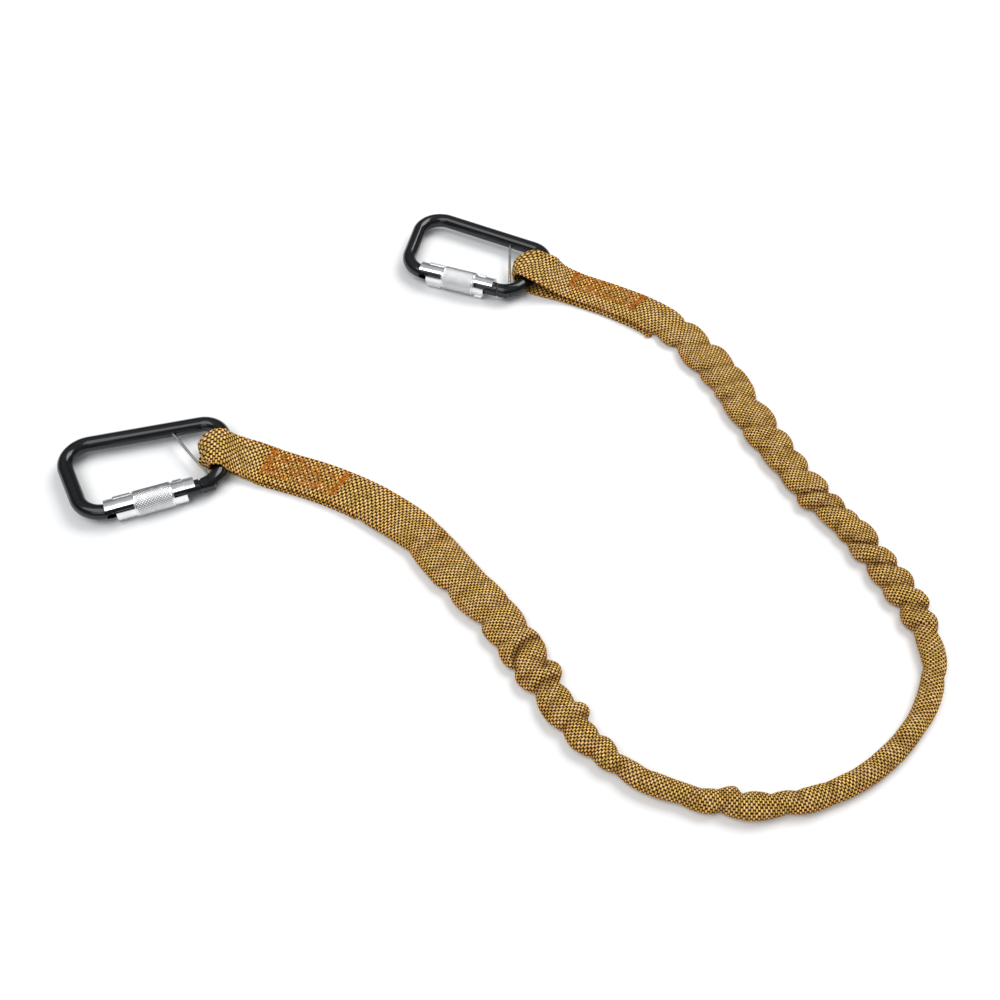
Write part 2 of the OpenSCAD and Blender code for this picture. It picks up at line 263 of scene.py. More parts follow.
# Distance from eye A along the run and half width there; low values are the pulled-in notches
LEFT_EDGE = [
    (0, 13.2), (5, 13.5), (8, 14.6), (15, 15.6), (30, 17), (50, 16.6), (100, 15.8), (130, 15),
    (152, 13.4),
    (185, 13.3), (200, 12.4), (210, 12.9), (221, 11.8), (232, 12.1), (243, 9.7), (254, 12.7),
    (268, 7.6), (275, 12.2), (284, 5.6), (292, 7.8), (300, 6.4), (307, 10.8), (313, 5.6),
    (319, 6.2), (325, 4.6), (331, 7.5), (340, 4.3), (349, 5.4), (358, 5), (374, 5.8), (391, 5.2),
    (400, 6.4), (409, 9.6), (413, 5.3), (421, 7.2), (429, 5), (437, 6.7), (444, 5.5), (452, 6.2),
    (461, 6), (480, 5.6), (530, 5.9), (560, 5.7), (571, 4.5), (588, 7), (598, 6), (606, 10.2),
    (616, 5.5), (624, 11.6), (633, 8.6), (641, 10.8), (653, 4.9), (659, 10), (670, 6.3),
    (675, 8.5), (681, 7.3), (695, 9.2), (702, 8.2), (709, 13.2), (717, 8.4), (724, 10.6),
    (735, 8.2), (750, 10.2), (758, 9), (769, 12.1), (778, 9.4), (794, 12.5), (806, 10.6),
    (812, 11.4), (818, 8.8), (829, 11.8), (837, 9.4), (850, 13.2), (867, 6.7), (877, 11.8),
    (887, 9.6), (898, 13), (930, 12), (960, 12), (976, 13.2), (996, 13)]
RIGHT_EDGE = [
    (0, 17.6), (5, 17.2), (10, 15.8), (24, 13.6), (40, 12.2), (92, 12.4), (106, 13.4), (122, 14.7),
    (138, 14.4), (154, 13), (170, 15.3), (184, 15.4), (193, 12), (207, 15.7), (226, 11.6),
    (234, 15.2), (246, 12.6), (256, 15.2), (264, 11.2), (272, 15), (283, 9.2), (298, 13.4),
    (310, 9.6), (319, 12.2), (331, 7.4), (337, 8.6), (345, 6), (360, 8.2), (381, 6.2), (394, 8.2),
    (402, 5.6), (417, 9.2), (436, 5.9), (448, 7.9), (460, 6.8), (480, 7.2), (530, 6.1),
    (556, 7.8), (566, 7), (577, 8.6), (594, 6.9), (602, 10.4), (609, 8), (616, 12.2), (624, 8),
    (633, 12.2), (641, 8.5), (649, 12.6), (658, 7.4), (669, 14), (680, 11.4), (684, 12),
    (691, 9.4), (700, 12.2), (706, 7.8), (716, 13.6), (727, 9), (738, 14.4), (748, 11.8),
    (760, 15.4), (768, 10.6), (781, 16), (797, 11.6), (820, 17.8), (830, 15.3), (845, 17.9),
    (854, 12.6), (872, 17.8), (881, 14.2), (893, 17.6), (905, 17.3), (930, 16.8), (960, 16.8),
    (976, 16.8), (996, 16)]
# The lower layer and the turn: distance from the bar, half width to the left and to the right
LOWER_EDGE = {
    "a": [(0, 13, 12), (10, 13.8, 14.2), (24, 15, 13.6), (45, 15.6, 13.2), (110, 15.6, 13.6)],
    "b": [(0, 12.8, 14.3), (14, 13.2, 14), (45, 14.2, 14.4), (110, 14.8, 14.4)]}
# How far the end of each loop reaches from the bar's axis, by lateral place
LOOP_REACH = {
    "a": [(-15.4, 8), (-12.5, 10.4), (-9.3, 14.6), (-5.2, 12.9), (-1, 15.4), (5, 16.6), (10, 14.9),
          (13.2, 10.6)],
    "b": [(-16, 15.2), (-13, 18.8), (-8, 20.8), (-2, 20.2), (3, 17.6), (8, 14.4), (13, 10.6)]}
# Creases over the top: place on the right edge, place on the left edge, bow in the middle, depth
CREASES = [
    (106, 116, 0, 0.5), (154, 151, 0, 0.9), (193, 200, 2, 0.8), (226, 221, -1, 1.1),
    (246, 243, 2, 1.3), (264, 254, -6, 2.7), (272, 268, 2, 1.5), (283, 284, -3, 2.6),
    (298, 300, 2, 1.2), (310, 313, -2, 2.2), (331, 325, 0, 1.5), (345, 340, 1, 1.4),
    (358, 362, 0, 0.6), (381, 391, 0, 0.7), (402, 413, 0, 1.4), (436, 429, 0, 1.0),
    (446, 444, 0, 0.7), (460, 461, 0, 0.9), (488, 481, 0, 0.4), (512, 517, 0, 0.4),
    (541, 534, 0, 0.5), (566, 571, 0, 0.8), (595, 588, 0, 1.0), (597, 599, 0, 1.5),
    (609, 616, 1, 2.3), (624, 633, -1, 2.4), (641, 653, -2, 2.6), (658, 670, -2, 2.7),
    (680, 681, 2, 1.5), (691, 702, -2, 2.5), (706, 717, -2, 2.6), (727, 735, -1, 2.1),
    (748, 757, -1, 1.7), (768, 778, -1, 1.9), (797, 806, 2, 1.5), (812, 818, 0, 1.3),
    (830, 837, -1, 1.7), (854, 867, -1, 1.9), (881, 887, 0, 1.3), (898, 894, 0, 0.7)]
# Fall of a crease in mm, share of that on its steep side, and depth over the table's
CREASE_W, STEEP, CREASE_GAIN = 2.3, 0.55, 1.4
# The proud lobe beside a crease: distance, width, and height over the crease's depth
LIP_AT, LIP_W, LIP_GAIN = 3.6, 2.0, 0.3
# Creases deeper than this run right across; the others fade between the edges
CROSSING = 2.3
# Distance from each eye to the first gathers, and from there to full gathering
GATHER = {"a": (108, 60), "b": (96, 50)}
# Parts of the strap, in order from its cut end at A to its cut end at B
TAIL_A, ROUND_A, UPPER, ROUND_B, TAIL_B = range(5)
# Points round a ring, degrees from a ring's bottom to its top, and distance between rings
POINTS, TOP, STEP = 88, 180, 0.8
WRINKLES, WRINKLE_REACH, WRINKLE_W = 260, 14, 1.3
SWELLS = 14
# Half height of the elastic core where it is sewn flat and where it is round, and cloth over it
CORE_FLAT, CORE_ROUND, CLOTH = 0.8, 2.5, 0.45
# Edges beside the bars: how far A's hangs down and how far B's rides up
DROOP, RIDE_UP = 2.2, 1.9
# Lowest places: on the floor, over the tail, and past the tail's end
ON_FLOOR, OVER_TAIL, PAST_TAIL = 0.1, 2.85, 0.2
# Gathered webbing shows its weave finer by this share
BUNCH = 0.32
dice = np.random.default_rng(2311)


def edge_at(s, knots):
    """Half width along the run: cusps at the low knots, rounded puffs at the high ones."""
    at, width = np.array(knots, float).T
    k = np.clip(np.searchsorted(at, s) - 1, 0, len(at) - 2)
    u = np.clip((s - at[k]) / (at[k + 1] - at[k]), 0, 1)
    low, high = np.minimum(width[k], width[k + 1]), np.maximum(width[k], width[k + 1])
    rise = np.where(width[k + 1] > width[k], u, 1 - u)
    return mix(low, high, np.sin(rise * math.pi / 2) ** 0.8)


def softened(values, spread):
    """Values along the strap after a Gaussian blur of that many mm."""
    reach = int(4 * spread / STEP)
    weight = np.exp(-0.5 * (np.arange(-reach, reach + 1) * STEP / spread) ** 2)
    weight /= weight.sum()
    if values.ndim == 1:
        return np.convolve(np.pad(values, reach, mode="edge"), weight, mode="valid")
    return np.stack([softened(values[:, k], spread) for k in range(values.shape[1])], -1)


def gathering(s):
    """0 where the strap lies flat, 1 where the elastic gathers it."""
    (start_a, full_a), (start_b, full_b) = (GATHER[k] for k in SIDES)
    return ease((s - start_a) / full_a) * ease((RUN_L - start_b - s) / full_b)


def tail_stations(side):
    """Lower layer, from its cut end to the bar."""
    run = np.arange(TAIL_L, 0, -STEP)
    s = run if side == "a" else RUN_L - run
    return np.column_stack([plan_at(s), np.full(len(s), UNDER_Z)]), across_at(s), s, 0 * s


def turn_stations(side):
    """Round the bar, from the lower layer to the upper one."""
    q = np.arange(0, math.pi, STEP / (TURN_R + 2))
    reach = TURN_A * np.minimum(1, np.sin(q) * 3) + TURN_R * np.sin(q)
    xy = EYE[side] - reach[:, None] * OUT[side]
    width = np.tile(BAR[side] if side == "a" else -BAR[side], (len(q), 1))
    s = np.full(len(q), 0.0 if side == "a" else RUN_L)
    return np.column_stack([xy, MID_Z - TURN_R * np.cos(q)]), width, s, np.sin(q)


def strap_stations():
    """Centre line, width direction, run distance, share of turn and layer of the whole strap."""
    s = np.arange(0, RUN_L, STEP)
    run = (np.column_stack([plan_at(s), level_at(s)]), across_at(s), s, 0 * s)
    parts = [tail_stations("a"), turn_stations("a"), run]
    parts += [tuple(x[::-1] for x in f("b")) for f in (turn_stations, tail_stations)]
    layer = np.concatenate([np.full(len(p[2]), k) for k, p in enumerate(parts)])
    line, width, s, turn = (np.concatenate([p[k] for p in parts]) for k in range(4))
    gone = np.concatenate([[0], np.cumsum(np.linalg.norm(np.diff(line, axis=0), axis=1))])
    even = np.arange(0, gone[-1], STEP)
    line, width = columns(even, gone, line), columns(even, gone, width)
    s, turn = np.interp(even, gone, s), np.interp(even, gone, turn)
    layer = layer[np.clip(np.searchsorted(gone, even), 0, len(gone) - 1)]
    return softened(line, 1.6), unit(softened(width, 1.6)), s, turn, layer


def outline(left, right, height, power):
    """Lateral and vertical places of one ring, from the bottom round by the left, evenly spaced.

    The third value is the distance round the ring from its top.
    """
    a = np.radians(np.linspace(-90, 270, 2 * TOP + 1))
    x = np.sign(np.cos(a)) * np.abs(np.cos(a)) ** power
    z = np.sign(np.sin(a)) * np.abs(np.sin(a)) ** power
    x = x * np.where(x > 0, left, right)
    z = z * height / 2
    run = np.concatenate([[0], np.cumsum(np.hypot(np.diff(x), np.diff(z)))])
    at = np.linspace(0, run[-1], POINTS + 1)
    x, z = np.interp(at, run, x), np.interp(at, run, z)
    return x[:-1], z[:-1], at - run[TOP]


def crease_depth(s, share):
    """Depth of the creases over the top at a run distance and a share of the half width.

    Each one is a steep step down and a slower way up, and the lobe beside it stands a bit proud.
    """
    depth, lip = np.zeros_like(share), np.zeros_like(share)
    for k, (right, left, bow, deep) in enumerate(CREASES):
        line = mix(right, left, (1 + share) / 2) + bow * (1 - share ** 2)
        away = (s - line) * (1 if k % 2 else -1)
        fall = np.exp(-np.abs(away) / np.where(away > 0, CREASE_W, STEEP * CREASE_W))
        across = mix(0.12, 0.62, ease((deep - CROSSING) / 0.4))
        reach_in = mix(across, 1, np.abs(share) ** 1.7)
        depth = np.maximum(depth, CREASE_GAIN * deep * fall * reach_in)
        proud = np.exp(-((away + LIP_AT) / LIP_W) ** 2)
        lip = np.maximum(lip, LIP_GAIN * deep * proud * reach_in)
    return depth - lip


def wrinkle_depth(s, share):
    """Depth of the short wrinkles that run out of the notches."""
    depth = np.zeros_like(share)
    at = dice.uniform(120, RUN_L - 100, WRINKLES)
    middle = dice.uniform(-1, 1, WRINKLES)
    lean = dice.uniform(-0.9, 0.9, WRINKLES)
    length = dice.uniform(0.25, 0.7, WRINKLES)
    deep = dice.uniform(0.2, 0.75, WRINKLES)
    for k in range(WRINKLES):
        rows = np.abs(s[:, 0] - at[k]) < WRINKLE_REACH
        off = share[rows] - middle[k]
        line = at[k] + lean[k] * 8 * off
        taper = np.clip(1 - (off / length[k]) ** 2, 0, 1)
        depth[rows] += deep[k] * taper * np.exp(-np.abs(s[rows] - line) / WRINKLE_W)
    return depth * gathering(s)


def swell(s, share):
    """Slow uneven swelling of the gathered part."""
    total = np.zeros_like(share)
    for _ in range(SWELLS):
        wave = dice.uniform(7, 26)
        lean, phase = dice.uniform(-2.5, 2.5), dice.uniform(0, 2 * math.pi)
        total += np.sin(2 * math.pi * s / wave + lean * share + phase)
    return total / SWELLS ** 0.5 * gathering(s)


def eased(at, knots):
    """Value between knots, level at each of them."""
    x, y = np.array(knots, float).T
    k = np.clip(np.searchsorted(x, at) - 1, 0, len(x) - 2)
    return mix(y[k], y[k + 1], ease((at - x[k]) / (x[k + 1] - x[k])))


def lower_edges(s):
    """Half widths of the lower layer and of the turn, to the left and to the right."""
    edges = {k: np.array(LOWER_EDGE[k], float) for k in SIDES}
    a, b = (columns(np.minimum(s, RUN_L - s), edges[k][:, 0], edges[k][:, 1:]) for k in SIDES)
    return np.where((s < RUN_L / 2)[:, None], a, b).T


def half_widths(line, s, layer):
    """Half width of every ring to the left and to the right; each turn joins both layers."""
    low_left, low_right = lower_edges(s)
    turning = (layer == ROUND_A) | (layer == ROUND_B)
    climb = np.where(turning, ease((line[:, 2] - UNDER_Z) / (OVER_Z - UNDER_Z)), layer == UPPER)
    left = mix(low_left, edge_at(s, LEFT_EDGE), climb)
    right = mix(low_right, edge_at(s, RIGHT_EDGE), climb)
    return softened(left, 0.7), softened(right, 0.7)


def ring_heights(s, upper, left, right):
    """Height of every ring; one that puffs out sideways stands higher as well."""
    puff = 0.5 * (left / softened(left, 16) + right / softened(right, 16))
    height = np.where(upper, height_at(s), WEB_T)
    return softened(height * (1 + 0.7 * (puff - 1) * gathering(s)), 0.8)


def fold_depth(s, upper, share, rise, height):
    """Depth of all folds at each point, never down to the elastic core."""
    far = np.tile(s[:, None], (1, POINTS))
    dip = crease_depth(far, share) + wrinkle_depth(far, share) - 0.35 * swell(far, share)
    dip *= upper[:, None]
    topness = np.clip(0.35 + 0.65 * rise, 0.1, 1)
    core = mix(CORE_FLAT, CORE_ROUND, gathering(s))
    room = (height / 2 - core - CLOTH).clip(0.1)[:, None]
    return np.minimum(dip, room) * topness


def loop_bulge(x, near_a, turn):
    """How far each point of a turn stands out beyond the plain turn round the bar."""
    base = TURN_A + TURN_R + WEB_T / 2
    reach = np.where(near_a[:, None], eased(x, LOOP_REACH["a"]), eased(x, LOOP_REACH["b"]))
    return (reach - base) * turn[:, None] ** 1.5


def settle(grid, x, share, near_a, tail_s, layer):
    """Bends the edges beside the bars and lifts everything off what lies below it."""
    upper = layer == UPPER
    near_bar = np.where(near_a, ease((16 - tail_s) / 7) * ease((tail_s - 2) / 4), 0) * upper
    droop = DROOP * np.clip(-share - 0.55, 0, 1) / 0.45
    grid[..., 2] -= droop * near_bar[:, None] * np.clip((grid[..., 2] - MID_Z) / BAR_R, 0, 1)
    # At B the far edge rides up a little, clear of the bend of the bar when the connector swings
    ride_up = np.where(near_a, 0, ease((18 - tail_s) / 9)) * (upper | (layer == ROUND_B))
    over = np.clip((grid[..., 2] - MID_Z) / BAR_R, 0, 1)
    grid[..., 2] += RIDE_UP * ease((-x - 8) / 7) * ride_up[:, None] * over
    lying = upper & (tail_s > np.where(near_a, 14, 30))
    over_tail = mix(OVER_TAIL, PAST_TAIL, ease((tail_s - TAIL_L) / 9))
    lowest = np.where(lying, over_tail, ON_FLOOR)
    grid[..., 2] = np.maximum(grid[..., 2], lowest[:, None])


def strap_surface():
    """Rings of the strap, in mm, with what the material and the stitching need to know."""
    line, width, s, turn, layer = strap_stations()
    go = unit(np.gradient(line, axis=0))
    width = np.column_stack([width, np.zeros(len(width))])
    up = unit(np.cross(go, width))
    near_a, upper = s < RUN_L / 2, layer == UPPER
    left, right = half_widths(line, s, layer)
    height = ring_heights(s, upper, left, right)
    power = 0.55 + 0.45 * np.minimum(1, height / 9)
    rings = [outline(*row) for row in zip(left, right, height, power)]
    x, z, v = (np.array([r[k] for r in rings]) for k in range(3))
    share = np.clip(x / np.where(x > 0, left[:, None], right[:, None]), -1, 1)
    rise = z / (height[:, None] / 2)
    dip = fold_depth(s, upper, share, rise, height)
    z = z - dip * np.clip(rise + 0.2, 0, 1)
    x = x - 0.35 * dip * share
    out = np.where(near_a[:, None], np.array([*OUT["a"], 0]), np.array([*OUT["b"], 0]))
    grid = (line[:, None] + x[..., None] * width[:, None] + z[..., None] * up[:, None]
            - loop_bulge(x, near_a, turn)[..., None] * out[:, None])
    settle(grid, x, share, near_a, np.where(near_a, s, RUN_L - s), layer)
    return {"grid": grid, "v": v, "s": s, "layer": layer, "x": x, "dip": dip, "line": line,
            "share": share}


# ---------------------------------------------------------------- meshes


def ring_faces(rows, cols, closed_rows=False):
    """Quads of a tube of that many rings and points to a ring, facing outwards."""
    last = rows if closed_rows else rows - 1
    j, k = np.meshgrid(np.arange(last), np.arange(cols), indexing="ij")
    n, i = (j + 1) % rows, (k + 1) % cols
    quads = np.stack([j * cols + k, j * cols + i, n * cols + i, n * cols + k], -1)
    return quads.reshape(-1, 4).tolist()


def capped_faces(rows, cols):
    """The quads of a tube and the two faces that close it."""
    caps = [list(range(cols))[::-1], [(rows - 1) * cols + k for k in range(cols)]]
    return ring_faces(rows, cols) + caps


def add_mesh(name, points, faces, material, body):
    """A smooth shaded mesh from points in mm that rides on a body."""
    mesh = bpy.data.meshes.new(name)
    mesh.from_pydata((np.asarray(points) * MM).tolist(), [], faces)
    mesh.shade_smooth()
    mesh.materials.append(material)
    piece = bpy.data.objects.new(name, mesh)
    bpy.context.collection.objects.link(piece)
    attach(piece, body)
    return piece


def set_uv(piece, name, values):
    layer = piece.data.uv_layers.new(name=name)
    layer.uv.foreach_set("vector", np.asarray(values, np.float32).ravel())


def set_point_value(piece, name, values):
    spot = piece.data.attributes.new(name, "FLOAT", "POINT")
    spot.data.foreach_set("value", np.asarray(values, np.float32).ravel())


def ring_uv(u, v):
    """One UV pair for each corner of ring_faces, from u by ring and v with its seam repeated."""
    uu = np.tile(u[:, None], (1, v.shape[1]))
    low = np.stack([uu[:-1], v[:-1]], -1)
    high = np.stack([uu[1:], v[1:]], -1)
    corners = np.stack([low[:, :-1], low[:, 1:], high[:, 1:], high[:, :-1]], 2)
    return corners.reshape(-1, 2)


# ---------------------------------------------------------------- node helper


class Paint:
    """A Principled material and short calls for its nodes."""

    def __init__(self, name, **constants):
        self.material = bpy.data.materials.new(name)
        self.material.use_nodes = True
        self.tree = self.material.node_tree
        self.shader = self.tree.nodes["Principled BSDF"]
        for socket, value in constants.items():
            self.shader.inputs[socket.replace("_", " ")].default_value = value

    def put(self, value, socket):
        if isinstance(value, bpy.types.NodeSocket):
            self.tree.links.new(value, socket)
        else:
            socket.default_value = value

    def node(self, kind, **settings):
        made = self.tree.nodes.new("ShaderNode" + kind)
        for key, value in settings.items():
            setattr(made, key, value)
        return made

    def math(self, operation, a, b=0.0, c=0.0, clamp=False):
        made = self.node("Math", operation=operation, use_clamp=clamp)
        for value, socket in zip((a, b, c), made.inputs):
            self.put(value, socket)
        return made.outputs[0]

    def off_middle(self, value):
        """0 in the middle of each whole step of a value, 1 at its ends."""
        twice = self.math("MULTIPLY", self.math("FRACT", value), 2.0)
        return self.math("ABSOLUTE", self.math("SUBTRACT", twice, 1.0))

    def mix(self, share, a, b, blend="MIX"):
        made = self.node("Mix", data_type="RGBA", blend_type=blend)
        for value, socket in ((share, made.inputs[0]), (a, made.inputs[6]), (b, made.inputs[7])):
            self.put(value, socket)
        return made.outputs[2]

    def ramp(self, value, stops, easing="LINEAR"):
        made = self.node("ValToRGB")
        made.color_ramp.interpolation = easing
        marks = made.color_ramp.elements
        while len(marks) < len(stops):
            marks.new(0.5)
        for mark, (at, colour) in zip(marks, stops):
            mark.position = at
            mark.color = (*colour, 1) if len(colour) == 3 else colour
        self.put(value, made.inputs[0])
        return made.outputs[0]

    def span(self, value, low, high, to_low=0.0, to_high=1.0):
        made = self.node("MapRange")
        for v, socket in zip((value, low, high, to_low, to_high), made.inputs):
            self.put(v, socket)
        return made.outputs[0]

    def place(self, scale=(1, 1, 1), turn=0.0, source=None):
        """Object coordinates in mm, turned about Z and scaled."""
        made = self.node("Mapping", vector_type="POINT")
        if source is None:
            source = self.node("TexCoord").outputs["Object"]
        self.put(source, made.inputs["Vector"])
        made.inputs["Rotation"].default_value = (0, 0, math.radians(turn))
        made.inputs["Scale"].default_value = tuple(1000 * k for k in scale)
        return made.outputs[0]

    def noise(self, vector, scale, detail=2.0, roughness=0.5):
        made = self.node("TexNoise")
        self.put(vector, made.inputs["Vector"])
        made.inputs["Scale"].default_value = scale
        made.inputs["Detail"].default_value = detail
        made.inputs["Roughness"].default_value = roughness
        return made.outputs[0]

    def bump(self, height, distance, strength=1.0, under=None):
        made = self.node("Bump")
        made.inputs["Strength"].default_value = strength
        made.inputs["Distance"].default_value = distance * MM
        self.put(height, made.inputs["Height"])
        if under is not None:
            self.put(under, made.inputs["Normal"])
        return made.outputs[0]

    def finish(self, **outputs):
        for socket, value in outputs.items():
            self.put(value, self.shader.inputs[socket.replace("_", " ")])
        return self.material


# ---------------------------------------------------------------- materials

# Weave of the webbing: pitch of the bead columns along it and of the beads across it, in mm
COLUMN = 1.65
BEAD = 4.14


def webbing_material():
    """A gold net of thick warp beads with small dark holes between the ends of the beads."""
    paint = Paint("webbing_weave", Roughness=0.85, Specular_IOR_Level=0.12)
    uv = paint.node("UVMap", uv_map="weave")
    split = paint.node("SeparateXYZ")
    paint.put(uv.outputs[0], split.inputs[0])
    plain = paint.place()
    drift = paint.noise(plain, 0.35, 2.0)
    u = paint.math("DIVIDE", split.outputs[0], COLUMN)
    v = paint.math("DIVIDE", split.outputs[1], BEAD)
    u = paint.math("ADD", u, paint.math("MULTIPLY", paint.noise(plain, 0.18, 2.0), 0.5))
    v = paint.math("ADD", v, paint.math("MULTIPLY", drift, 0.3))
    column = paint.math("FLOOR", u)
    odd = paint.math("FLOORED_MODULO", column, 2.0)
    v = paint.math("ADD", v, paint.math("MULTIPLY", odd, 0.5))
    row = paint.math("FLOOR", v)
    cell = paint.node("CombineXYZ")
    paint.put(column, cell.inputs[0])
    paint.put(row, cell.inputs[1])
    chance = paint.node("TexWhiteNoise", noise_dimensions="3D")
    paint.put(cell.outputs[0], chance.inputs["Vector"])
    pick = chance.outputs["Value"]
    side = paint.off_middle(u)
    end = paint.math("ADD", paint.off_middle(v), paint.span(pick, 0, 1, -0.1, 0.1))
    # In colour this profile is a painted highlight along each bead's middle and painted shade
    # towards its sides; the bump uses it as relief.
    ridge_highlight_and_shade = paint.math("SUBTRACT", 1.0, paint.math(
        "MULTIPLY", paint.math("POWER", side, 2.0), 0.68))
    hole = paint.math("MULTIPLY", paint.span(end, 0.54, 0.82), paint.math(
        "SUBTRACT", 1.0, paint.math("MULTIPLY", paint.math("POWER", side, 2.0), 0.4)))
    bead = paint.math("MULTIPLY", ridge_highlight_and_shade, paint.math("SUBTRACT", 1.0, hole), clamp=True)
    # Fine filaments run along each bead
    strand = paint.node("CombineXYZ")
    paint.put(paint.math("MULTIPLY", split.outputs[0], 9.0), strand.inputs[0])
    paint.put(paint.math("MULTIPLY", split.outputs[1], 1.2), strand.inputs[1])
    fibre = paint.noise(strand.outputs[0], 1.0, 3.0, 0.6)
    # The ramp's pale top is a painted highlight on the beads' crests; its dark bottom, in the
    # holes, is partly the dark weft and partly painted shade.
    colour = paint.ramp(bead, [
        (0.0, (0.006, 0.001, 0.0001)), (0.3, (0.045, 0.015, 0.001)), (0.55, (0.26, 0.13, 0.016)),
        (0.8, (0.55, 0.33, 0.065)), (1.0, (0.95, 0.64, 0.2))])
    # Bands of beads that are paler and pinker than the gold ones: a painted sheen on the yarn
    sheen_band = paint.noise(plain, 0.12, 2.0)
    pale_sheen = paint.math("MULTIPLY", paint.span(paint.math("ADD", sheen_band, paint.math(
        "MULTIPLY", pick, 0.35)), 0.66, 0.8), bead)
    colour = paint.mix(paint.math("MULTIPLY", pale_sheen, 0.34), colour, (0.68, 0.45, 0.31, 1))
    tone = paint.math("MULTIPLY", paint.span(pick, 0, 1, 0.66, 1.3),
                      paint.span(fibre, 0.3, 0.7, 0.8, 1.16))
    crease_shade_and_cut_end = paint.node("Attribute", attribute_name="crease_shade_and_cut_end").outputs["Fac"]
    fold = paint.node("Attribute", attribute_name="fold").outputs["Fac"]
    # Painted shade: the colour darkens to about a third in the deepest creases.
    tone = paint.math("MULTIPLY", tone, paint.span(crease_shade_and_cut_end, 0.1, 0.9, 1.0, 0.34))
    grey = paint.node("CombineColor")
    for socket in grey.inputs:
        paint.put(tone, socket)
    colour = paint.mix(1.0, colour, grey.outputs[0], blend="MULTIPLY")
    # Darker and more orange towards the folded edges; in the creases the same tint is painted
    # shade.
    edge_tint_and_crease_shade = paint.math("ADD", paint.math("MULTIPLY", fold, 0.5), paint.math(
        "MULTIPLY", crease_shade_and_cut_end, 0.6), clamp=True)
    colour = paint.mix(edge_tint_and_crease_shade, colour, paint.mix(1.0, colour, (1.12, 0.74, 0.42, 1), "MULTIPLY"))
    height = paint.math("ADD", bead, paint.math("MULTIPLY", fibre, 0.12))
    return paint.finish(Base_Color=colour, Normal=paint.bump(height, 0.3, 0.8))


def thread_material():
    """Twisted rust coloured sewing thread."""
    paint = Paint("sewing_thread", Roughness=0.7, Specular_IOR_Level=0.2)
    uv = paint.node("UVMap", uv_map="ply")
    split = paint.node("SeparateXYZ")
    paint.put(uv.outputs[0], split.inputs[0])
    twist = paint.math("ADD", paint.math("MULTIPLY", split.outputs[0], 5.2), split.outputs[1])
    ply = paint.math("ABSOLUTE", paint.math("SINE", twist))
    plain = paint.place()
    tone = paint.noise(plain, 0.5, 2.0)
    colour = paint.ramp(tone, [(0.3, (0.36, 0.075, 0.005)), (0.5, (0.64, 0.19, 0.014)),
                               (0.7, (0.8, 0.36, 0.05))])
    # Painted shade: the grooves between the plies are darker.
    groove_shade = paint.ramp(ply, [(0.0, (0.35, 0.3, 0.28)), (0.45, (1, 1, 1))])
    colour = paint.mix(1.0, colour, groove_shade, "MULTIPLY")
    return paint.finish(Base_Color=colour, Normal=paint.bump(ply, 0.12))


def elastic_material():
    """Ribbed pale rubber core."""
    paint = Paint("elastic_rubber", Roughness=0.7)
    plain = paint.place()
    tone = paint.noise(plain, 0.25, 3.0)
    colour = paint.ramp(tone, [(0.35, (0.62, 0.58, 0.46)), (0.65, (0.8, 0.77, 0.66))])
    return paint.finish(Base_Color=colour, Normal=paint.bump(paint.noise(plain, 1.4), 0.2))


def black_material():
    """Satin black coat with a faint orange peel and fine handling marks."""
    paint = Paint("black_coat", Specular_IOR_Level=0.5)
    plain = paint.place()
    cloud = paint.noise(plain, 0.09, 3.0)
    peel = paint.noise(plain, 1.1, 2.0)
    marks = paint.noise(paint.place(scale=(0.35, 2.4, 1.2), turn=28), 1.0, 4.0, 0.7)
    rub = paint.span(marks, 0.6, 0.72)
    colour = paint.ramp(cloud, [(0.35, (0.0018, 0.002, 0.003)), (0.7, (0.0035, 0.004, 0.0055))])
    colour = paint.mix(paint.math("MULTIPLY", rub, 0.25), colour, (0.012, 0.013, 0.016, 1))
    rough = paint.math("ADD", paint.span(cloud, 0.3, 0.7, 0.1, 0.17),
                       paint.math("MULTIPLY", rub, 0.1))
    bump = paint.bump(peel, 0.02, 0.5)
    return paint.finish(Base_Color=colour, Roughness=rough, Normal=bump)


def turned_metal(name, turn, low, high, colours):
    """Bright metal with lathe marks round an axis that lies at that turn about Z."""
    paint = Paint(name, Metallic=1.0)
    ringed = paint.place(scale=(4.0, 0.05, 0.05), turn=-turn)
    cloudy = paint.place()
    rings = paint.noise(ringed, 1.0, 4.0, 0.65)
    cloud = paint.noise(cloudy, 0.16, 3.0)
    colour = paint.ramp(cloud, [(0.3, colours[0]), (0.7, colours[1])])
    # Painted shade: the knurl's valleys are darkened by how deep they are cut.
    cut = paint.node("Attribute", attribute_name="cut").outputs["Fac"]
    colour = paint.mix(paint.math("MULTIPLY", cut, 0.7), colour, (0.16, 0.16, 0.165, 1))
    rough = paint.math("ADD", paint.span(rings, 0.3, 0.7, low, high),
                       paint.span(cloud, 0.3, 0.7, -0.03, 0.05))
    return paint.finish(Base_Color=colour, Roughness=rough, Normal=paint.bump(rings, 0.012, 0.6))


def floor_material():
    paint = Paint("pale_floor", Roughness=0.75, Specular_IOR_Level=0.2)
    tone = paint.noise(paint.place(), 0.004, 2.0)
    colour = paint.ramp(tone, [(0.3, (0.9, 0.9, 0.905)), (0.7, (0.925, 0.925, 0.925))])
    return paint.finish(Base_Color=colour)


def add_floor():
    mesh = bpy.data.meshes.new("studio_floor")
    half = 9.0
    mesh.from_pydata([(-half, -half, 0), (half, -half, 0), (half, half, 0), (-half, half, 0)],
                     [], [(0, 1, 2, 3)])
    mesh.materials.append(floor_material())
    floor = bpy.data.objects.new("studio_floor", mesh)
    bpy.context.collection.objects.link(floor)


# ---------------------------------------------------------------- strap and stitching


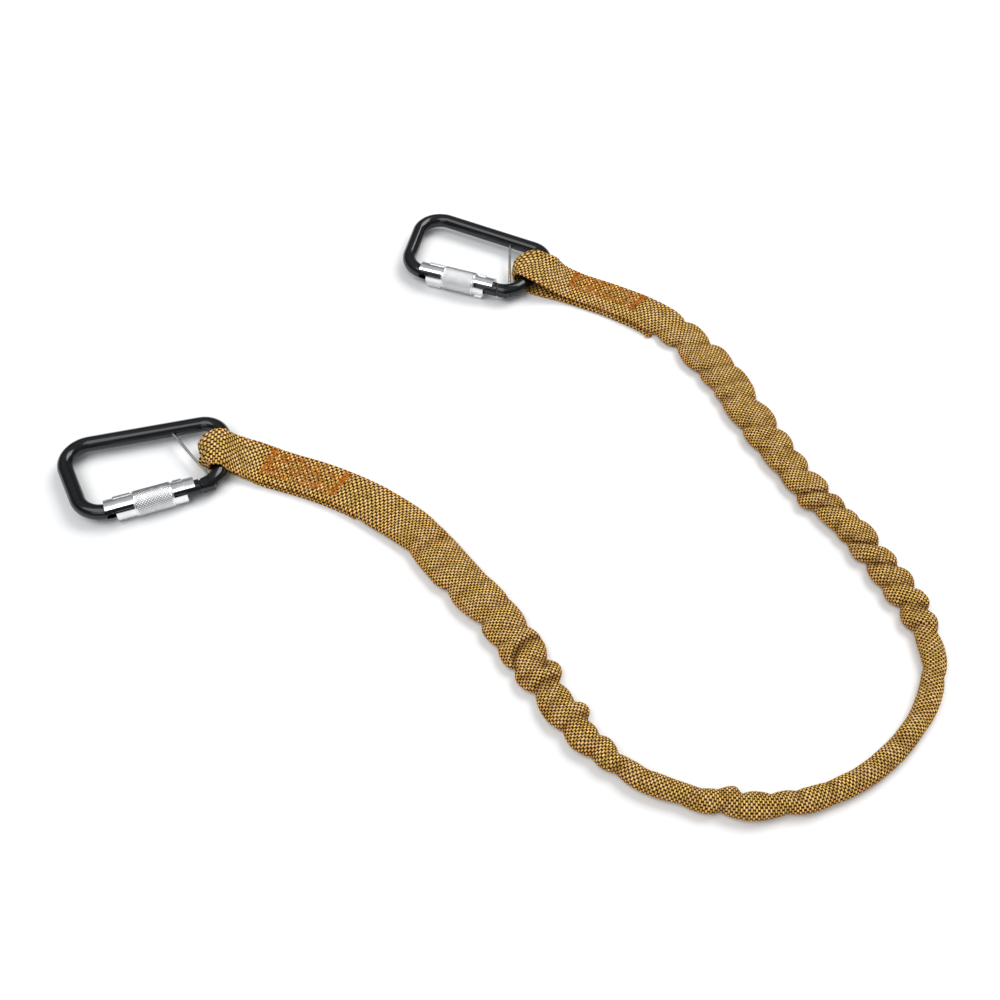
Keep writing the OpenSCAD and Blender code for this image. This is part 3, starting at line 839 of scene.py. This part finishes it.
def add_strap(shape):
    """The whole webbing as one closed tube, with its weave laid along it."""
    grid, v = shape["grid"], shape["v"]
    rows = len(grid)
    points = grid.reshape(-1, 3)
    faces = ring_faces(rows, POINTS)
    points = np.vstack([points, grid[0].mean(0), grid[-1].mean(0)])
    first, second = rows * POINTS, rows * POINTS + 1
    top = (rows - 1) * POINTS
    faces += [[(k + 1) % POINTS, k, first] for k in range(POINTS)]
    faces += [[top + k, top + (k + 1) % POINTS, second] for k in range(POINTS)]
    piece = add_mesh("webbing_strap", points, faces, webbing_material(), "strap")
    finer = 1 + BUNCH * gathering(shape["s"]) * (shape["layer"] == UPPER)
    corners = ring_uv(np.cumsum(finer) * STEP, v * finer[:, None])
    tips = np.tile([[0.3, 0.3]], (2 * POINTS * 3, 1))
    set_uv(piece, "weave", np.vstack([corners, tips]))
    # Painted shade for the creases, by the depth of each fold; the centres of both cut ends take a
    # darker, more orange tint as well.
    crease_shade_and_cut_end = np.clip(shape["dip"] / 2.2, 0, 1) ** 0.8
    fold = np.abs(shape["share"]) ** 6
    set_point_value(piece, "crease_shade_and_cut_end", np.append(crease_shade_and_cut_end.ravel(), [0.5, 0.5]))
    set_point_value(piece, "fold", np.append(fold.ravel(), [1, 1]))
    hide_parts("webbing")
    return piece


def on_top(shape, s, x, lift=0.0):
    """The point of the upper layer at a run distance and a lateral place, in mm."""
    rows = np.flatnonzero(shape["layer"] == UPPER)
    row = rows[np.argmin(np.abs(shape["s"][rows] - s))]
    half = slice(POINTS // 4, 3 * POINTS // 4 + 1)
    places, grid = shape["x"][row][half][::-1], shape["grid"][row][half][::-1]
    point = np.array([np.interp(x, places, grid[:, k]) for k in range(3)])
    point[2] += lift
    return point


def beside(s, x):
    """Plan place at a run distance and a lateral place, and the width direction there."""
    across = across_at(np.array([s]))[0]
    return plan_at(np.array([s]))[0] + across * x, across


def under_side(s, x):
    """The point of a stitch pressed flush in the underside of the lower layer."""
    return np.array([*beside(s, x)[0], UNDER_Z - WEB_T / 2 + FLUSH])


def thread_tube(path, radius, sides=6):
    """Rings of a thin round tube along a path."""
    path = np.asarray(path, float)
    go = unit(np.gradient(path, axis=0))
    side = unit(np.cross(go, [0.0, 0.0, 1.0]) + 1e-6)
    up = np.cross(side, go)
    a = np.arange(sides) * 2 * math.pi / sides
    ring = np.cos(a)[:, None, None] * side + np.sin(a)[:, None, None] * up
    size = np.full(len(path), radius)
    size[0] = size[-1] = radius * 0.35
    return path[:, None] - np.swapaxes(ring, 0, 1) * size[:, None, None]


def join_tubes(name, tubes, material, body):
    """One mesh of many small closed tubes, with the ply coordinates of each."""
    points, faces, uvs, base = [], [], [], 0
    for tube in tubes:
        rows, cols = tube.shape[:2]
        middle = tube.mean(1)
        gone = np.concatenate([[0], np.cumsum(np.linalg.norm(np.diff(middle, axis=0), axis=1))])
        v = np.tile(np.linspace(0, 2 * math.pi, cols + 1), (rows, 1))
        points.append(tube.reshape(-1, 3))
        faces += [[base + k for k in face] for face in capped_faces(rows, cols)]
        uvs += [ring_uv(gone, v), np.zeros((2 * cols, 2))]
        base += rows * cols
    piece = add_mesh(name, np.vstack(points), faces, material, body)
    set_uv(piece, "ply", np.vstack(uvs))
    return piece


def zigzag(start, end, swing, pitch):
    """Corner points of a zigzag from one (s, x) point to another."""
    start, end = np.array(start, float), np.array(end, float)
    count = max(2, int(np.linalg.norm(end - start) / pitch))
    way = unit(end - start)
    square = np.array([-way[1], way[0]])
    corners = [mix(start, end, k / count) + square * swing * (1 if k % 2 else -1)
               for k in range(count + 1)]
    return np.array(corners) + dice.normal(0, UNEVEN, (count + 1, 2))


# Sewn patches: run distance of both ends and lateral place of both edges
PATCHES = {"a": (31, 85, -7.5, 14), "b": (914, 967, -15.5, 3.5)}
THREAD_R = 0.42
# Gap between zigzag rows, unevenness of the stitches, and depth of those pressed flush
ROW_GAP, UNEVEN, FLUSH = 2.6, 0.16, 0.28
HAIRS, LOOP_THREADS = 26, 7


def stitch_lines(side):
    """Zigzag rows along the patch and bar tacks across its ends."""
    near, far, low, high = PATCHES[side]
    lines = [(zigzag((near + 1, x), (far - 1, x), 1.25, 2.1), 0.72)
             for x in np.arange(low + 1.4, high - 0.6, ROW_GAP)]
    lines += [(zigzag((s, low), (s, high), 1.2, 1.3), 0.85)
              for s in (near, near + 2.3, far - 2.3, far)]
    return lines


def add_stitching(shape, side, material):
    tubes = []
    for corners, keep in stitch_lines(side):
        for p, q in zip(corners[:-1], corners[1:]):
            if dice.random() > keep:
                continue
            bow = dice.uniform(0.25, 0.5)
            share = np.linspace(0, 1, 6)
            spots = [mix(p, q, u) for u in share]
            rise = -0.3 + (bow + 0.3) * np.sin(math.pi * share) ** 0.7
            path = [on_top(shape, *spot, lift) for spot, lift in zip(spots, rise)]
            tubes.append(thread_tube(path, THREAD_R * dice.uniform(0.85, 1.12)))
            path = [under_side(*spot) for spot in spots[::2]]
            tubes.append(thread_tube(path, 0.2))
    tubes += tuft(shape, side)
    return join_tubes(f"stitch_thread_{side}", tubes, material, "strap")


def tuft(shape, side):
    """Loose ends: a frayed corner at the tail and loops at the patch's outer corner."""
    near, far, low, high = PATCHES[side]
    hairs = []
    if side == "a":
        tail, edge, loops = (TAIL_L - 4, TAIL_L), -11.8, [(near + 1, high - 0.5)]
    else:
        tail, edge = (RUN_L - TAIL_L, RUN_L - TAIL_L + 5), 13.0
        loops = [(far - 1, low + 0.5), (near, low + 4)]
    outwards = 1 if edge > 0 else -1
    for _ in range(HAIRS):
        s, x = dice.uniform(*tail), edge + outwards * dice.uniform(-1.5, 0.6)
        at, across = beside(s, x)
        start = np.array([*at, dice.uniform(0.8, 2.6)])
        side_way = np.append(across * outwards, 0)
        lean = side_way * dice.uniform(0.6, 2.2) + np.array([*dice.normal(0, 0.9, 2), 0.5])
        curl = dice.normal(0, 0.7, 3)
        path = [start + lean * u + curl * u * u for u in np.linspace(0, 1, 6)]
        path = [np.array([p[0], p[1], max(p[2], 0.35)]) for p in path]
        hairs.append(thread_tube(path, dice.uniform(0.12, 0.2), 5))
    for s, x in loops:
        for _ in range(LOOP_THREADS):
            a, b = dice.normal(0, 1.3, 2), dice.normal(0, 1.3, 2)
            high_point = dice.uniform(0.7, 1.5)
            path = [on_top(shape, s + a[0] * (1 - u) + b[0] * u, x + a[1] * (1 - u) + b[1] * u,
                           high_point * math.sin(math.pi * u) - 0.2) for u in np.linspace(0, 1, 8)]
            hairs.append(thread_tube(path, 0.28))
    return hairs


# ---------------------------------------------------------------- connectors

GRIP_X = (31.5, 56.0)
GRIP_R = 8.3
SLEEVE_R = 7.5
KNURL_PITCH = 1.8
KNURL_DEEP = 0.45
# Mesh steps to each tooth of the knurl, and how far in from the rim it starts
TOOTH_STEPS, KNURL_IN = 6, 0.75
# The grip's rim: how far in its rounding ends, and its drop at both ends of the rounding
RIM_IN, RIM_OUTER, RIM_INNER = 0.35, 0.55, 0.12
COIL_STEPS, WIRE_SIDES = 28, 8
# Coil springs: name, both ends along X, (turns, radius, wire), Y of the axis, the joint that
# shortens it, the end that stays, and the share of the length that is left at the joint's limit
SPRINGS = (
    ("sleeve_spring", (40.1, 57.9), (7, 4.75, 0.9), 0, "sleeve_slide", 57.9, 0.83),
    ("plunger_spring", (58.9, 65.9), (6, 0.68, 0.4), 2.5, "plunger_slide", 58.9, 0.81))


def knurl_profile():
    """Places along the grip and how much of the knurl's depth shows there."""
    x0, x1 = GRIP_X
    count = int((x1 - x0) / KNURL_PITCH * TOOTH_STEPS)
    body = np.linspace(x0 + KNURL_IN, x1 - KNURL_IN, count)
    rim = [SLEEVE_R, GRIP_R - RIM_OUTER, GRIP_R - RIM_INNER]
    fade = np.minimum(1, np.minimum(body - x0, x1 - body) - KNURL_IN).clip(0, 1)
    x = np.concatenate([[x0, x0, x0 + RIM_IN], body, [x1 - RIM_IN, x1, x1]])
    base = np.concatenate([rim, np.full(count, GRIP_R), rim[::-1]])
    show = np.concatenate([[0, 0, 0], fade, [0, 0, 0]])
    return x, base, np.sqrt(show)


def add_grip(side, material):
    """Barrel with a cut diamond knurl."""
    x, base, show = knurl_profile()
    teeth = round(2 * math.pi * GRIP_R / KNURL_PITCH)
    cols = teeth * TOOTH_STEPS
    angle = np.arange(cols) * 2 * math.pi / cols
    u, v = (x / KNURL_PITCH)[:, None], (teeth * angle / (2 * math.pi))[None, :]
    saw = [np.abs(2 * ((u + way * v) % 1.0) - 1) for way in (1, -1)]
    cut = np.clip(1.25 * np.maximum(*saw) - 0.25, 0, 1)
    radius = base[:, None] - KNURL_DEEP * cut * show[:, None]
    points = placed_grid(side, np.stack([
        np.tile(x[:, None], (1, cols)), radius * np.cos(angle), radius * np.sin(angle)], -1))
    piece = add_mesh(f"knurled_grip_{side}", points.reshape(-1, 3),
                     ring_faces(len(x), cols, closed_rows=True), material, f"sleeve_{side}")
    # How deep each point of the knurl is cut, which the metal turns into painted shade in the
    # valleys.
    set_point_value(piece, "cut", (cut * show[:, None]).ravel() ** 1.5)
    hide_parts(f"grip_{side}")
    return piece


def coil_rings(side, x0, x1, turns, radius, wire, y):
    """Rings of a coil spring along a connector's own X axis."""
    steps = turns * COIL_STEPS
    k = np.arange(steps + 1)
    a = 2 * math.pi * k / COIL_STEPS
    x = mix(x0 + wire / 2, x1 - wire / 2, k / steps)
    b = np.arange(WIRE_SIDES) * 2 * math.pi / WIRE_SIDES
    reach = radius + wire / 2 * np.cos(b)[None, :]
    local = np.stack([x[:, None] + wire / 2 * np.sin(b)[None, :],
                      y + reach * np.cos(a)[:, None], reach * np.sin(a)[:, None]], -1)
    return placed_grid(side, local)


def add_springs(side, material):
    """Both coil springs, carried by the gate."""
    for name, span, size, y, joint, fixed, keep in SPRINGS:
        rings = coil_rings(side, *span, *size, y)
        piece = add_mesh(f"{name}_wire_{side}", rings.reshape(-1, 3),
                         capped_faces(*rings.shape[:2]), material, f"gate_{side}")
        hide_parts(f"{name}_{side}")
        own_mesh(piece)


def smooth_shading():
    """Node group that shades a CAD mesh smooth but for its sharp edges."""
    group = bpy.data.node_groups.new("shade_smooth_by_angle", "GeometryNodeTree")
    group.interface.new_socket("Geometry", in_out="INPUT", socket_type="NodeSocketGeometry")
    group.interface.new_socket("Geometry", in_out="OUTPUT", socket_type="NodeSocketGeometry")
    nodes, links = group.nodes, group.links
    start, end = nodes.new("NodeGroupInput"), nodes.new("NodeGroupOutput")
    weld = nodes.new("GeometryNodeMergeByDistance")
    weld.inputs["Distance"].default_value = 1e-6
    angle = nodes.new("GeometryNodeInputMeshEdgeAngle")
    sharp = nodes.new("FunctionNodeCompare")
    sharp.operation = "GREATER_THAN"
    sharp.inputs[1].default_value = math.radians(32)
    smooth = nodes.new("GeometryNodeSetShadeSmooth")
    edges = nodes.new("GeometryNodeSetShadeSmooth")
    edges.domain = "EDGE"
    flip = nodes.new("FunctionNodeBooleanMath")
    flip.operation = "NOT"
    links.new(start.outputs[0], weld.inputs["Geometry"])
    links.new(weld.outputs[0], smooth.inputs["Geometry"])
    links.new(angle.outputs["Unsigned Angle"], sharp.inputs[0])
    links.new(sharp.outputs[0], flip.inputs[0])
    links.new(smooth.outputs[0], edges.inputs["Geometry"])
    links.new(flip.outputs[0], edges.inputs["Shade Smooth"])
    links.new(edges.outputs[0], end.inputs[0])
    return group


def finish_cad_nodes(materials):
    """Gives each CAD node that still shows its material and smooth shading."""
    group = smooth_shading()
    for name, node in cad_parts.items():
        if node.hide_render:
            continue
        material = next(m for key, m in materials.items() if name.startswith(key))
        node.data.materials.clear()
        node.data.materials.append(material[name[-1]] if isinstance(material, dict) else material)
        modifier = node.modifiers.new("smooth", "NODES")
        modifier.node_group = group


def add_connectors():
    black = black_material()
    bright = ((0.8, 0.805, 0.81), (0.92, 0.92, 0.925))
    satin = ((0.8, 0.805, 0.81), (0.93, 0.93, 0.935))
    steel = {s: turned_metal(f"polished_steel_{s}", PLACE[s][2], 0.08, 0.16, bright) for s in SIDES}
    barrel = {s: turned_metal(f"turned_barrel_{s}", PLACE[s][2], 0.14, 0.24, satin) for s in SIDES}
    for side in SIDES:
        add_grip(side, barrel[side])
        add_springs(side, steel[side])
    finish_cad_nodes({
        "elastic_core": elastic_material(), "body": black, "gate": black, "hinge_rivet": black,
        "captive_pin": steel, "plunger": steel, "guide_collar": steel, "sleeve": barrel,
        "guide_keys": barrel})


# ---------------------------------------------------------------- everything

add_studio()
add_floor()
strap_shape = strap_surface()
strap = add_strap(strap_shape)
thread = thread_material()
threads = [add_stitching(strap_shape, side, thread) for side in SIDES]
for side, piece in zip(SIDES, threads):
    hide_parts(f"stitching_{side}")
add_connectors()
